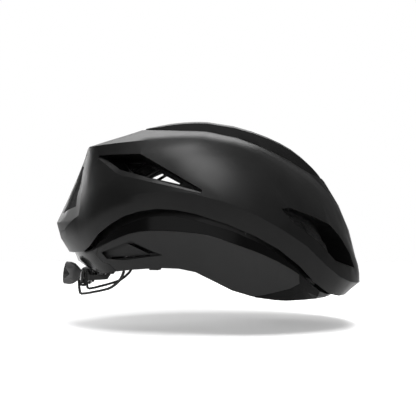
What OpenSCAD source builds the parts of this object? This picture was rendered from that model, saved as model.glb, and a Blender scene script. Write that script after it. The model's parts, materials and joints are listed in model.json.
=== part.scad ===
// Road bike helmet in two nested halves: an outer half that slips on the inner half like a ball
// in its socket, with the fit system, the pads and the tucked chin strap.
// +X is the front and +Z is up. The helmet stands on its temples and on the nape loops.

/* [Helmet] */
// Length from the tail to the brow
helmet_l = 286; // [280:1:294]
// Width across the shoulders of the outer shell
helmet_w = 212; // [208:1:220]
// Height from the table to the top of the spine
helmet_h = 161; // [159:0.5:167]
// Wall of the moulded outer skin
skin_wall = 1.2; // [0.8:0.1:1.8]
// Depth of the two channels beside the spine, below their rims
channel_depth = 6; // [3:0.5:8]
// Width of the spine between the two channels
spine_w = 30; // [26:1:33]

/* [Slip joint] */
// Radius of the ball that the inner half ends in
slip_r = 108; // [106.5:0.5:109]
// Running gap between the ball and its socket
slip_gap = 0.8; // [0.5:0.1:1.2]
// Diameter of the stem of an elastomer tether
tether_d = 5; // [4:0.2:6]

/* [Lower skirt] */
// Wall of the gloss wrap of the lower skirt
wrap_wall = 1.6; // [1.2:0.1:2.2]
// Gap line round a side panel
panel_gap = 0.25; // [0.1:0.05:0.4]
// Depth of the pocket in a side panel
pocket_depth = 4; // [2.5:0.5:5]

/* [Head bowl] */
// Inside length of the bowl
bowl_l = 194; // [190:1:196]
// Inside width of the bowl
bowl_w = 158; // [154:1:161]
// Height of the inside of the crown above the table
bowl_top = 126; // [122:1:128]
// Thickness of a comfort pad
pad_t = 6; // [4:0.5:8]
// Width of the chin strap webbing
strap_w = 15; // [12:1:18]
// Thickness of the chin strap webbing
strap_t = 1.2; // [0.8:0.1:1.6]

/* [Fit system] */
// Radius of the nape arc on which the fit bands run
nape_r = 84; // [82:1:86]
// Diameter of the fit dial
dial_d = 21.5; // [18:0.5:24]
// Length of the fit dial along its axis
dial_l = 12; // [11:0.5:15]
// Forward lean of the dial face, in degrees
dial_lean = 7; // [4:0.5:9]
// Number of teeth of the pinion
pinion_teeth = 8; // [8:1:10]
// Module of the pinion and the racks
tooth_module = 0.75; // [0.65:0.05:0.85]
// Thickness of a fit band
band_t = 1.5; // [1.2:0.1:1.8]
// Diameter of the wire-like loops of the cradle
loop_d = 2.6; // [2:0.1:3.2]
// Travel of the cradle down its height track
height_travel = 12; // [8:1:14]

/* [Hidden] */

// Shares of the nominal helmet that the chosen length, width and height give
kx = helmet_l / 286;
ky = helmet_w / 212;
kz = helmet_h / 161;
k = [kx, ky, kz];

// Points from the nose to the widest place, to the tail corner, and across half the tail
n_nose = 10;
n_side = 18;
n_half = 20;
corner_turn = 68;
slip_c = [-4, 0, 29];
assembly_gap = 0.05;

function unit(v) = v / norm(v);
function last(v) = v[len(v) - 1];

// Smooth curve through knots of [x, value], level with its end knots beyond them
function knot(t, x, i = 0) = i >= len(t) - 2 || x < t[i + 1][0] ? i : knot(t, x, i + 1);
function steep(t, i) = let (a = max(i - 1, 0), b = min(i + 1, len(t) - 1))
    (t[b][1] - t[a][1]) / (t[b][0] - t[a][0]);
function curve(t, x) = let (
    c = min(max(x, t[0][0]), last(t)[0]), i = knot(t, c), h = t[i + 1][0] - t[i][0],
    u = (c - t[i][0]) / h, w = 1 - u)
    w * w * ((1 + 2 * u) * t[i][1] + u * h * steep(t, i))
    + u * u * ((1 + 2 * w) * t[i + 1][1] - w * h * steep(t, i + 1));

// Side-view heights of the crease lines, front to back of the nominal helmet
edge_z = [[-127, 38.5], [-109, 42], [-96, 57], [-72, 72.7], [-51, 78.3], [-34, 79.2], [-6, 74],
          [26, 62.7], [54, 49], [75, 34], [91, 17.5], [100, 9], [110, 3.4], [122, 1.2], [131, 2.4]];
shoulder_z = [[-143, 66], [-120, 70], [-101, 77.7], [-76, 87], [-57, 92], [-34, 94], [-6, 91],
              [26, 81], [58, 65], [87, 46], [110, 24], [128, 14], [143, 11]];
chine_z = [[-113, 135], [-64, 139], [-20, 141], [10, 138], [38, 129.5], [61, 118.3], [85, 99.5],
           [103, 85], [115, 72], [125, 58], [134, 42], [140, 32]];
rim_z = [[-63, 153.6], [-51, 152.2], [-21, 150.8], [-4, 150.2], [10, 148.5], [31, 143], [52, 135],
         [73, 125], [86, 117], [97, 111], [107, 107.4], [111.5, 103.4]];
spine_z = [[-60, 155.2], [-51, 156.6], [-30, 159.8], [-8, 161], [10, 159.8], [30, 155.5],
           [54, 147.6], [78, 135.6], [96, 121], [108, 107.8], [111.5, 103.4]];
skirt_crease_z = [[-122.5, 30], [-114, 34], [-108, 38], [-97, 45], [-73, 56.2], [-61, 59.9], [-45, 61.5],
                  [-20, 60.5], [2, 57.5], [21, 51], [42, 43.3], [59, 35.5], [76, 25.7],
                  [86, 17.6], [98, 7.3], [109, 3], [116, 1.8]];
skirt_hem_z = [[-110, 24], [-100, 20.5], [-81, 24], [-62, 26.8], [-31, 28.8], [-15, 26.7],
               [-6, 24], [5, 18.5], [19, 10.8], [30, 6.2], [49, 2.2], [71, -0.4],
               [85, -0.8], [98, -0.7], [107.5, -0.4]];
groove = [[-131, -3], [-117, -2], [-109, 1], [-104, 4.5], [-97, 7.4], [-88, 9], [-60, 7], [-30, 5.8], [0, 4.6], [30, 4], [80, 4.4], [92, 4.2],
          [101, 1], [106, -1.2], [112, -2.8], [118, -4]];

// Plan of a ring: [nose x, widest x, half width, corner x, corner y, tail x, roundness]
edge_plan = [131, -10, 103, -112, 42, -131, 2.3];
shoulder_plan = [143, -12, 106, -116, 43, -143, 2.25];
chine_plan = [140, -5, 68, -107, 38, -113, 2.3];
rim_plan = [111.5, 0, 31, -58, 14, -63, 2.6];
skirt_top_plan = [114, -12, 101.5, -110, 39, -127, 2.9];
skirt_crease_plan = [116, -12, 104, -109, 41, -122.5, 2.8];
skirt_hem_plan = [112.5, -10, 91, -100, 38, -111, 2.7];

function plan_at(p, i) =
    i <= n_nose ? let (a = 90 * i / n_nose, e = 2 / p[6])
        [p[1] + (p[0] - p[1]) * pow(cos(a), e), p[2] * pow(sin(a), e)]
    : i <= n_side ? let (a = corner_turn * (i - n_nose) / (n_side - n_nose))
        [p[1] - (p[1] - p[3]) * sin(a) / sin(corner_turn),
         p[4] + (p[2] - p[4]) * (cos(a) - cos(corner_turn)) / (1 - cos(corner_turn))]
    : let (u = (i - n_side) / (n_half - n_side), c = 1 - u)
        [p[5] + (p[3] - p[5]) * pow(c, 1.4), p[4] * c];

// A closed ring, counter-clockwise from the nose; lower is how far it lies under its height line
function half_index(j) = j <= n_half ? j : 2 * n_half - j;
function ring(p, z, lower = [[0, 0], [1, 0]]) = [for (j = [0 : 2 * n_half - 1])
    let (q = plan_at(p, half_index(j)), s = j <= n_half ? 1 : -1)
    [q[0] * kx, s * q[1] * ky, (curve(z, q[0]) - curve(lower, q[0])) * kz]];
function narrower(p, nose, tail, hw) =
    [p[0] - nose, p[1], hw, p[3] + tail, p[4] * hw / p[2], p[5] + tail, p[6]];

// Rows between two rings, pushed out by a bulge given at the nose, the side and the tail
function bulge_at(b, j) = let (i = half_index(j))
    i <= n_nose ? b[0] + (b[1] - b[0]) * i / n_nose
    : b[1] + (b[2] - b[1]) * (i - n_nose) / (n_half - n_nose);
function around(r, j) = r[(j + len(r)) % len(r)];
function between(a, b, n, bulge) = [for (m = [1 : n]) let (u = m / (n + 1))
    [for (j = [0 : len(a) - 1])
        a[j] * (1 - u) + b[j] * u
        + unit(cross(around(a, j + 1) - around(a, j - 1), b[j] - a[j]))
          * bulge_at(bulge, j) * 4 * u * (1 - u)]];

// The same rows, sunk by t along their own normals
function sunk(g, t) = [for (r = [0 : len(g) - 1]) [for (j = [0 : len(g[0]) - 1]) let (
    along = around(g[r], j + 1) - around(g[r], j - 1),
    up = g[min(r + 1, len(g) - 1)][j] - g[max(r - 1, 0)][j],
    out = unit(cross(along, up)))
    g[r][j] - t * (r == len(g) - 1 ? unit(out + [0, 0, 1]) : out)]];

// Faces of a wall of rows, and of the cap across the first or the last row
function wall_faces(g, first, out) = let (n = len(g[0]))
    [for (r = [0 : len(g) - 2]) for (j = [0 : n - 1])
        let (a = first + r * n + j, b = first + r * n + (j + 1) % n, c = b + n, d = a + n)
        for (f = j < n / 2 ? [[a, d, c], [a, c, b]] : [[a, d, b], [b, d, c]])
            out ? f : [f[2], f[1], f[0]]];
function cap_faces(n, first, down) = [for (i = [0 : n / 2 - 1])
    let (p = first + i, q = p + 1, s = first + (n - i) % n, t = first + n - i - 1,
         f = i == 0 ? [[p, q, t]] : i == n / 2 - 1 ? [[p, q, s]] : [[p, q, t], [p, t, s]])
    for (v = f) down ? v : [v[2], v[1], v[0]]];
function flat(g) = [for (r = g) for (p = r) p];

module solid(g) {
    n = len(g[0]);
    polyhedron(flat(g), concat(wall_faces(g, 0, true), cap_faces(n, 0, true),
                               cap_faces(n, n * (len(g) - 1), false)), convexity = 10);
}

// A wall of thickness t behind the rows, closed over the last row and open below the first
module skin(g, t) {
    n = len(g[0]);
    top = n * (len(g) - 1);
    inner = n * len(g);
    polyhedron(flat(concat(g, sunk(g, t))),
        concat(wall_faces(g, 0, true), wall_faces(g, inner, false),
               cap_faces(n, top, false), cap_faces(n, inner + top, true),
               [for (j = [0 : n - 1]) let (b = (j + 1) % n)
                   for (f = [[j, b, inner + b], [j, inner + b, inner + j]]) f]),
        convexity = 10);
}

// Channel window: none at its two ends, full in between
channel_fade = [[-58, 0], [-45, 0.3], [-25, 1], [70, 1], [92, 0.5], [107, 0]];
channel_drop = [for (w = channel_fade) [w[0], w[1] * channel_depth]];
spine_drop = [[-60, 0], [-45, 1.6], [80, 1.6], [106, 0]];

edge_ring = ring(edge_plan, edge_z);
shoulder_ring = ring(shoulder_plan, shoulder_z);
chine_ring = ring(chine_plan, chine_z);
rim_ring = ring(rim_plan, rim_z);
outer_rows = concat(
    [edge_ring], between(edge_ring, shoulder_ring, 1, [0, 0.3, 2.2]), [shoulder_ring],
    between(shoulder_ring, chine_ring, 2, [0.7, 7, -1]), [chine_ring],
    between(chine_ring, rim_ring, 2, [4.5, 1.5, 0]), [rim_ring],
    [ring(narrower(rim_plan, 1.5, 2, 28.5), rim_z, channel_drop)],
    [ring(narrower(rim_plan, 3, 3.5, spine_w / 2 + 2), rim_z, channel_drop)],
    [ring(narrower(rim_plan, 4.5, 5, spine_w / 2), spine_z, spine_drop)],
    [ring(narrower(rim_plan, 9, 11, spine_w / 2 - 6), spine_z)]);

skirt_top_ring = ring(skirt_top_plan, edge_z, groove);
skirt_crease_ring = ring(skirt_crease_plan, skirt_crease_z);
skirt_hem_ring = ring(skirt_hem_plan, skirt_hem_z);
skirt_rows = concat([skirt_hem_ring], between(skirt_hem_ring, skirt_crease_ring, 1, [0, 2.5, 1]),
                    [skirt_crease_ring], [skirt_top_ring]);

// Keeps a freeform moulding as one mesh of flat faces
module moulded() resize([0, 0, 0]) children();

ball_fn = 36;

// Diameter of a polygon that holds a circle of diameter d
function around_circle(d, n) = d / cos(180 / n);

module mirrored() {
    children();
    mirror([0, 1, 0]) children();
}

// Side-view outlines [x, z] of the vents, on the rider's right
vent_mouth = [[-98, 127.4], [-58, 127], [-3.7, 94.8], [-5.4, 92.3], [-70, 107.2], [-78, 109.6],
              [-98, 125]];
vent_throat = [[-76, 121], [-56, 121], [-20, 102], [-24, 99.5], [-64, 109]];
// Slanting planes y = a + b x of a mouth and a throat
vent_mouth_plane = [-106.7, -0.548];
vent_throat_plane = [-101, -0.86];
vent_run_plane = [-118, -0.86];
vent_inner_plane = [-20, 0];
corner_mouth_top = [[63.3, 79.2], [69.8, 80.3], [93.1, 72.1], [109.3, 64.7], [99.8, 51], [84, 64.6]];
corner_mouth_low = [[109.3, 64.7], [121.2, 51.3], [130, 38.2], [135, 25.3], [117.7, 31.9],
                    [99.8, 51]];
corner_throat_top = [[72, 71], [88, 66], [97, 59], [90, 50], [80, 59]];
corner_throat_low = [[97, 59], [108, 46], [112, 34], [104, 36], [90, 50]];
corner_mouth_plane = [-133, 0.68];
corner_throat_plane = [-107, 0.68];
// Rear-view outline [y, z] of one exhaust opening
exhaust_mouth = [[5.5, 124], [33, 122], [37, 78], [5.5, 73]];
exhaust_throat = [[8, 118], [28, 116], [30, 84], [8, 80]];
exhaust_face = [[0, 129], [36, 127.5], [42, 74], [20, 60], [0, 56]];

function fit(o) = [for (q = o) [q[0] * kx, q[1] * kz]];

module pane(outline, plane, grow = 0)
    multmatrix([[1, 0, 0, 0], [plane[1] * ky / kx, 1, 0, plane[0] * ky], [0, 0, 1, 0], [0, 0, 0, 1]])
        rotate([90, 0, 0]) linear_extrude(0.1) offset(delta = grow) polygon(fit(outline));
module funnel(mouth, mouth_plane, throat, throat_plane, grow = 0) hull() {
    translate([0, -30, 0]) pane(mouth, mouth_plane, grow);
    pane(mouth, mouth_plane, grow);
    translate([0, grow > 0 ? 0 : 0.4, 0]) pane(throat, throat_plane, grow);
}
module side_vent(grow = 0)
    mirrored() funnel(vent_mouth, vent_mouth_plane, vent_throat, vent_throat_plane, grow);
module side_vent_run(grow = 0) mirrored() hull() {
    pane(vent_throat, vent_run_plane, grow);
    pane(vent_throat, vent_inner_plane, grow);
}
module corner_vent(grow = 0) mirrored() {
    funnel(corner_mouth_top, corner_mouth_plane, corner_throat_top, corner_throat_plane, grow);
    funnel(corner_mouth_low, corner_mouth_plane, corner_throat_low, corner_throat_plane, grow);
}
module rear_pane(outline, x, grow = 0)
    translate([x * kx, 0, 0]) rotate([90, 0, 90]) linear_extrude(0.1) offset(delta = grow)
        polygon([for (q = outline) [q[0] * ky, q[1] * kz]]);
module exhaust(x_mouth, x_throat, grow = 0) mirrored() hull() {
    rear_pane(exhaust_mouth, x_mouth, grow);
    rear_pane(exhaust_throat, x_throat, grow);
}
module exhaust_region(grow = 0) mirrored() hull() {
    rear_pane(exhaust_face, -150, grow);
    rear_pane(exhaust_face, -104, grow);
}

// Slots in the channel floors, aimed at the slip centre
slot_r = 3.6;
slot_y = spine_w / 2 + 7;
slot_spans = [[2, 26], [35, 57], [65, 84]];
module toward(p) {
    v = p - slip_c;
    translate(slip_c) rotate([0, acos(v[2] / norm(v)), atan2(v[1], v[0])]) children();
}
module slots(r, from, to) mirrored() for (s = slot_spans) hull() for (x = s)
    toward([x * kx, slot_y * cos(x * 0.45), curve(rim_z, x) * kz])
        translate([0, 0, from]) cylinder(h = to - from, r = r, $fn = 8);

// Elastomer tethers: directions [turn, rise] of their stems from the slip centre
tether_at = [[0, 34], [180, 40], [98, 33], [-98, 33]];
slip_swing = 1.2;
slip_reach = slip_r * sin(slip_swing) + 0.4;
tether_disc_d = tether_d * 2;
tether_disc_t = 1.4;
tether_in = 4.5;
module at_tethers() for (t = tether_at)
    translate(slip_c) rotate([0, 90 - t[1], t[0]]) children();
module outer_shell() color("#1b1b1c") moulded() difference() {
    union() {
        skin(outer_rows, skin_wall);
        intersection() {
            solid(outer_rows);
            union() {
                side_vent(skin_wall);
                corner_vent(skin_wall);
            }
            difference() {
                cube([400, 400, 400], center = true);
                translate(slip_c) sphere(slip_r + 9, $fn = ball_fn);
            }
        }
    }
    side_vent();
    corner_vent();
    slots(slot_r, 60, 160);
    exhaust_region(panel_gap);
}
// Room behind the tail and nose edges of the shell for the top of the lower skirt
module end_recesses() {
    translate([-200, -60, 0]) cube([200 - 102 * kx, 120, 46 * kz]);
    rotate([90, 0, 0]) linear_extrude(200, center = true)
        polygon(fit([[80, -10], [150, -10], [150, 12.5], [101, 12.5], [84, 31], [80, 31]]));
}
module outer_liner() color("#2b2b2c") moulded() difference() {
    solid(sunk(outer_rows, skin_wall + assembly_gap));
    translate(slip_c) sphere(slip_r + slip_gap, $fn = ball_fn);
    side_vent(skin_wall + 2 * assembly_gap);
    side_vent_run();
    corner_vent(skin_wall + 2 * assembly_gap);
    exhaust(-150, -100, skin_wall + assembly_gap);
    slots(slot_r, 60, 160);
    tether_pockets_outer();
    cage_groove();
    end_recesses();
}
// Depth of the lips of the tail frame, behind which the foam of the openings shows
lip_depth = 1.8;
module exhaust_frame() color("#4a4a4c") moulded() difference() {
    union() {
        intersection() {
            skin(outer_rows, skin_wall);
            exhaust_region();
        }
        intersection() {
            solid(outer_rows);
            exhaust(-150, -100, skin_wall);
            difference() {
                translate([-160, -50, 60]) cube([60, 100, 80]);
                solid(sunk(outer_rows, lip_depth));
            }
        }
    }
    exhaust(-150, -100);
}
// Everything under the table that the temples stand on
module below() translate([-200, -200, -50]) cube([400, 400, 50]);
module block() {
    solid(sunk(skirt_rows, wrap_wall + assembly_gap));
    ball(0);
}
module ball(grow) intersection() {
    translate(slip_c) sphere(slip_r + grow, $fn = ball_fn);
    linear_extrude(200) offset(delta = grow - wrap_wall - assembly_gap)
        polygon([for (q = skirt_top_ring) [q[0], q[1]]]);
    rotate([90, 0, 0]) linear_extrude(300, center = true) polygon(concat(
        [for (x = [-125 : 10 : 115])
            [x * kx, (curve(edge_z, x) - curve(groove, x) - 3) * kz - grow]],
        [[130, 200], [-130, 200]]));
}

// Inside of the bowl: turn 0 to the front, rise 0 at the rim of the crown, below it straight walls
bowl_c = [-4, 0, 40];
plan_power = 2.3;
rise_power = 2.1;
function lobe(c, power = plan_power) = (c < 0 ? -1 : 1) * pow(abs(c), 2 / power);
function bowl(turn, rise, d = 0) = let (w = rise < 0 ? 1 : lobe(cos(rise), rise_power))
    bowl_c + [(bowl_l / 2 - d) * w * lobe(cos(turn)), (bowl_w / 2 - d) * w * lobe(sin(turn)),
              rise < 0 ? rise : (bowl_top - bowl_c[2] - d) * lobe(sin(rise), rise_power)];
bowl_n = 36;
function bowl_rows(d) = [for (r = [-46, 0, 10, 20, 31, 42, 53, 64, 75, 85])
    [for (j = [0 : bowl_n - 1]) bowl(360 * j / bowl_n, r, d)]];

module inner_liner() color("#303031") moulded() difference() {
    block();
    below();
    solid(bowl_rows(0));
    slots(slot_r - 0.6, 40, 160);
    side_vent_run(-1);
    exhaust(-130, -60, -4);
    tether_pockets_inner();
    mirrored() {
        difference() {
            side_prism(pocket_outline, 1.3);
            solid(sunk(skirt_rows, pocket_depth + wrap_wall + assembly_gap));
        }
        for (o = pocket_slots) side_prism(o);
    }
    track_seat();
    guide_seats();
    anchor_seats();
}
module lower_shell() color("#101011") moulded() difference() {
    skin(skirt_rows, wrap_wall);
    mirrored() panel_prism(panel_gap / 2);
    below();
    ball(assembly_gap);
    solid(bowl_rows(0));
}

// Side-view outlines of a side panel and of its pocket
panel_outline = concat(
    [for (x = [-96 : 9.7 : 79]) [x, curve(skirt_crease_z, x) - 0.6]],
    [[79.2, 15.2], [70.5, 10.7], [48.6, 5.8], [34, 3.6], [24, -6], [-78, -6], [-79.9, 25],
     [-85.5, 30.6], [-92.7, 32.9], [-98.3, 38.9]]);
pocket_outline = [[-93, 41], [-65, 52.2], [-38.1, 40], [-72, 34.8], [-88, 35.5]];
pocket_slots = [[[-69, 49.6], [-63, 50], [-44, 41.6], [-50, 41]],
                [[-84, 37], [-50, 40.3], [-48, 38.8], [-84, 35.2]]];
module side_prism(outline, grow = 0) translate([0, -25, 0]) rotate([90, 0, 0])
    linear_extrude(110) offset(delta = grow) polygon(fit(outline));
module panel_prism(grow = 0) side_prism(panel_outline, grow);
module side_panel() moulded() difference() {
    union() {
        intersection() {
            skin(skirt_rows, wrap_wall);
            panel_prism(-panel_gap / 2);
        }
        intersection() {
            solid(skirt_rows);
            side_prism(pocket_outline, 1.2);
        }
    }
    solid(sunk(skirt_rows, pocket_depth + wrap_wall));
    difference() {
        side_prism(pocket_outline);
        solid(sunk(skirt_rows, pocket_depth));
    }
    for (o = pocket_slots) side_prism(o);
}
module side_panel_right() color("#2f2f30") side_panel();
module side_panel_left() color("#2f2f30") mirror([0, 1, 0]) side_panel();

// Crown ring of the reinforcing cage, in the plane that crosses both side vents
cage_tilt = 31;
cage_rise = 92;
cage_r = slip_r + slip_gap + 2.8;
cage_ring_r = sqrt(cage_r * cage_r - cage_rise * cage_rise);
cage_wire = 3;
module cage_ring(wire) translate(slip_c) rotate([0, -cage_tilt, 0]) translate([0, 0, cage_rise])
    rotate_extrude($fn = 72) translate([cage_ring_r, 0]) circle(d = wire, $fn = 16);
module roll_cage() color("#141414") cage_ring(cage_wire);
// Groove that the cage ring is pressed into, open to the socket
module cage_groove() intersection() {
    translate(slip_c) rotate([0, -cage_tilt, 0]) translate([0, 0, cage_rise])
        rotate_extrude($fn = 40) translate([cage_ring_r, 0])
            polygon([[-6, -3], [2.2, -2.1], [2.2, 2], [-6, 1.8]]);
    translate(slip_c) sphere(cage_r + 5, $fn = 24);
}

// Elastomer tethers that hold the halves together and bring the outer half back
module slip_tethers() color("#8a1f1f") at_tethers() {
    translate([0, 0, slip_r - tether_in + 0.8]) cylinder(h = tether_disc_t, d = tether_disc_d);
    translate([0, 0, slip_r - tether_in + 1])
        cylinder(h = tether_in + slip_gap + 2.2, d = tether_d);
    translate([0, 0, slip_r + slip_gap + 2.8]) cylinder(h = tether_disc_t, d = tether_disc_d);
}
// Snap cups in the outer liner that the tether heads lie in
cup_wall = 1;
cup_d = tether_disc_d + 2 * slip_reach + 0.6;
module tether_plugs() color("#565658") at_tethers() translate([0, 0, slip_r + slip_gap + 1.2])
    difference() {
        cylinder(h = 4.8, d = cup_d + 2 * cup_wall);
        translate([0, 0, 1.2]) cylinder(h = 2.4, d = cup_d);
        translate([0, 0, -1]) cylinder(h = 3, d = tether_d + 2 * slip_reach);
    }
module tether_pockets_inner() at_tethers() translate([0, 0, slip_r - tether_in])
    cylinder(h = tether_in + 2, d = cup_d, $fn = 16);
module tether_pockets_outer() at_tethers() translate([0, 0, slip_r - 1])
    cylinder(h = slip_gap + 7.05, d = around_circle(cup_d + 2 * cup_wall + 0.1, 16), $fn = 16);

// A tube of closed rows with flat ends
module closed_rows(g) {
    n = len(g[0]);
    l = n * (len(g) - 1);
    polyhedron(flat(g), concat(wall_faces(g, 0, true),
        [for (i = [1 : n - 2]) for (f = [[0, i, i + 1], [l, l + i + 1, l + i]]) f]));
}

// Comfort pads: cushions that lie on the bowl, from their middle and half sizes
pad_gap = 0.7;
pad_rings = [[0.02, 0], [0.94, 0], [1, 0.3], [0.94, 0.7], [0.78, 0.92], [0.45, 1], [0.02, 1]];
function bowl_over(x, y, d = 0) = let (
    w = pow(pow(abs(x / (bowl_l / 2 - d)), plan_power) + pow(abs(y / (bowl_w / 2 - d)), plan_power),
            rise_power / plan_power / 2))
    [bowl_c[0] + x, y, bowl_c[2] + (bowl_top - bowl_c[2] - d) * lobe(sin(acos(w)), rise_power)];
module cushion(c, h, over = false, n = 18)
    closed_rows([for (q = pad_rings) [for (i = [0 : n - 1]) let (
        a = -360 * i / n, d = pad_gap + pad_t * q[1],
        u = c + q[0] * [h[0] * lobe(cos(a)), h[1] * lobe(sin(a))])
        over ? bowl_over(u[0], u[1], d) : bowl(u[0], u[1], d)]]);
module brow_pad() color("#3a3a3c") cushion([0, 11], [40, 7.5]);
module crown_pads() color("#3a3a3c") {
    cushion([42, 0], [24, 12], true);
    cushion([-44, 0], [23, 13], true);
}
module side_pads() {
    cushion([64, 33], [10, 8]);
    cushion([146, 22], [9, 10]);
}
module side_pads_left() color("#3a3a3c") moulded() side_pads();
module side_pads_right() color("#3a3a3c") moulded() mirror([0, 1, 0]) side_pads();

// Webbing along [turn, rise] places, with its back at depth d inside the bowl
module tape(path, d) {
    p = [for (q = path) bowl(q[0], q[1], d)];
    g = [for (i = [0 : len(p) - 1]) let (
        out = unit(p[i] - bowl(path[i][0], path[i][1], d + 5)),
        along = p[min(i + 1, len(p) - 1)] - p[max(i - 1, 0)],
        side = unit(cross(out, along)) * strap_w / 2)
        [p[i] + side, p[i] - side, p[i] - side - out * strap_t, p[i] + side - out * strap_t]];
    closed_rows(g);
}
function route(a, b, n) = [for (i = [0 : n]) a + (b - a) * i / n];
strap_lift = 3.8;
crown_lift = 3.3;
strap_rise = 13;
anchor_turn = [50, 128];
divider_w = 27;
divider_h = 25;
divider_t = strap_t + 2.8;
divider_turn = 90;
module strap_side() {
    tape(route([anchor_turn[0] + 2, strap_rise], [divider_turn - 7, strap_rise], 8), strap_lift);
    tape(route([divider_turn + 7, strap_rise], [anchor_turn[1] - 2, strap_rise], 8), strap_lift);
    tape(route([divider_turn, strap_rise + 5], [divider_turn, crown_end], 12), crown_lift);
}
module strap_left() color("#1c1c1e") moulded() strap_side();
module strap_right() color("#1c1c1e") moulded() mirror([0, 1, 0]) strap_side();
module on_bowl(turn, rise, d) {
    p = bowl(turn, rise, d);
    n = bowl(turn, rise, d + 5) - p;
    translate(p) rotate([0, acos(n[2] / norm(n)), atan2(n[1], n[0])]) children();
}
anchor_d = strap_w + 6;
crown_end = 81;
module strap_anchors() color("#39393b") mirrored() for (i = [0, 1])
    on_bowl(anchor_turn[i], strap_rise, -2) difference() {
        cylinder(h = 2 + strap_lift + strap_t + 1, d = anchor_d);
        translate([-strap_w / 2 - 0.5, i == 0 ? -20 : -3, 2 + strap_lift - 0.4])
            cube([strap_w + 1, 23, strap_t + 3]);
    }
module anchor_seats() mirrored() for (t = anchor_turn)
    on_bowl(t, strap_rise, -2.1) cylinder(h = 6, d = around_circle(anchor_d + 0.2, 16), $fn = 16);
module divider() on_bowl(divider_turn, strap_rise, strap_lift + strap_t / 2 - divider_t / 2)
    difference() {
        linear_extrude(divider_t) difference() {
            square([divider_h, divider_w], center = true);
            for (i = [-1, 1], j = [-1, 1]) translate([i * divider_h / 2, j * divider_w / 2])
                rotate(45) square(4, center = true);
        }
        translate([-strap_w / 2 - 0.5, -divider_w / 2 - 1, 0.7])
            cube([strap_w + 1, divider_w + 2, divider_t - 1.4]);
        translate([-divider_h, -strap_w / 2 - 0.5, 0.7])
            cube([divider_h, strap_w + 1, divider_t]);
    }
module strap_divider_left() color("#202022") divider();
module strap_divider_right() color("#202022") mirror([0, 1, 0]) divider();

// Side-release buckle, closed, under the crown
buckle_w = strap_w + 9;
buckle_t = 4.6;
buckle_z = bowl(divider_turn, crown_end - 1, crown_lift + strap_t / 2)[2];
module on_buckle() translate([bowl_c[0], 0, buckle_z]) children();
module buckle_socket() color("#18181a") on_buckle() difference() {
    translate([-buckle_w / 2, -15, -buckle_t / 2]) cube([buckle_w, 17, buckle_t]);
    translate([-9.4, -11, -1.4]) cube([18.8, 14, 2.8]);
    translate([-strap_w / 2 - 0.4, -16, -1]) cube([strap_w + 0.8, 4, 2]);
    for (s = [-1, 1]) translate([s * buckle_w / 2 - 3, -8.5, -1.4]) cube([6, 7, 2.8]);
}
module buckle_plug() color("#222224") on_buckle() {
    difference() {
        translate([-buckle_w / 2, 2.3, -buckle_t / 2]) cube([buckle_w, 12.7, buckle_t]);
        translate([-strap_w / 2 - 0.4, 12, -1]) cube([strap_w + 0.8, 4, 2]);
    }
    for (s = [-1, 1]) translate([s * 7.2 - 1.6, -9.5, -1.1]) cube([3.2, 12, 2.2]);
    translate([-2, -8, -1.1]) cube([4, 11, 2.2]);
}

// Fit system: s outwards from the pinion middle, h up along the leaning face
nape_x = -30;
pinion_z = 16.2;
house_h = 14;
function lean(s, h) = [nape_r + s * cos(dial_lean) - h * sin(dial_lean),
                       pinion_z + s * sin(dial_lean) + h * cos(dial_lean)];
module arc(s0, s1, h0, h1, a0, a1) translate([nape_x, 0, 0]) rotate([0, 0, 180 + a0])
    rotate_extrude(angle = a1 - a0, $fn = 120)
        polygon([lean(s0, h0), lean(s1, h0), lean(s1, h1), lean(s0, h1)]);
module on_dial(s = 0) translate([nape_x - nape_r, 0, pinion_z]) rotate([0, dial_lean - 90, 0])
    translate([0, 0, s]) children();
pitch_r = pinion_teeth * tooth_module / 2;
tip_r = pitch_r + tooth_module;
rack_tip = pitch_r - tooth_module + 0.15;
rack_root = pitch_r + 1.3 * tooth_module;
slot_low = -tip_r - 0.35;
band_h = rack_root + 1.65;
turn_range = 150;
travel = pitch_r * turn_range * PI / 180;
per_mm = 180 / PI / nape_r;
slot_reach = (travel + tip_r + 0.5) * per_mm;
house_deg = 13.5 * per_mm;
tray_in = -band_t - 1.1;
tray_out = band_t + 1.1;
wall_t = 1.9;
shaft_r = 2;
dial_s = 9.6;

// A strip with a rack on one edge of its slot; side 1 puts the rack at the top
module strip(s0, side) difference() {
    arc(s0, s0 + band_t, -band_h, band_h, -slot_reach - 2.6 * per_mm, 14);
    difference() {
        arc(s0 - 1, s0 + band_t + 1, side > 0 ? slot_low : -rack_root,
            side > 0 ? rack_root : -slot_low, -slot_reach, slot_reach);
        for (i = [-5 : 4]) let (a = (i + 0.5) * PI * tooth_module * per_mm,
                                w = 0.18 * PI * tooth_module * per_mm)
            arc(s0 - 2, s0 + band_t + 2, side > 0 ? rack_tip : -rack_root - 1,
                side > 0 ? rack_root + 1 : -rack_tip, a - w, a + w);
    }
}
// Arm stations: [turn from the tail, radius from the nape centre, height, half width]
arm_r = nape_r - 12.3;
arm_stations = [[13.4, nape_r, pinion_z, 5.3], [18, nape_r, 16.2, 3.5], [22.2, nape_r, 16.3, 2.4],
    [25.2, nape_r - 6, 16.5, 2.3], [28.5, arm_r - 0.8, 17.2, 2.3], [32, arm_r - 1.5, 21.6, 2.5],
    [38, arm_r - 1, 28.6, 3], [46, arm_r, 36, 3.5], [56, arm_r, 41.5, 3.5], [66, arm_r, 45, 3.5],
    [74, arm_r, 46, 3.5],
    [81, arm_r, 46, 3.5], [88, arm_r, 46, 3.5]];
arm_fine = [for (a = [13.4, 17.8, 22.1, for (b = [25.1 : 3.3 : 88]) b]) concat([a], [for (c = [1 : 3])
    curve([for (q = arm_stations) [q[0], q[c]]], a)])];
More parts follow.
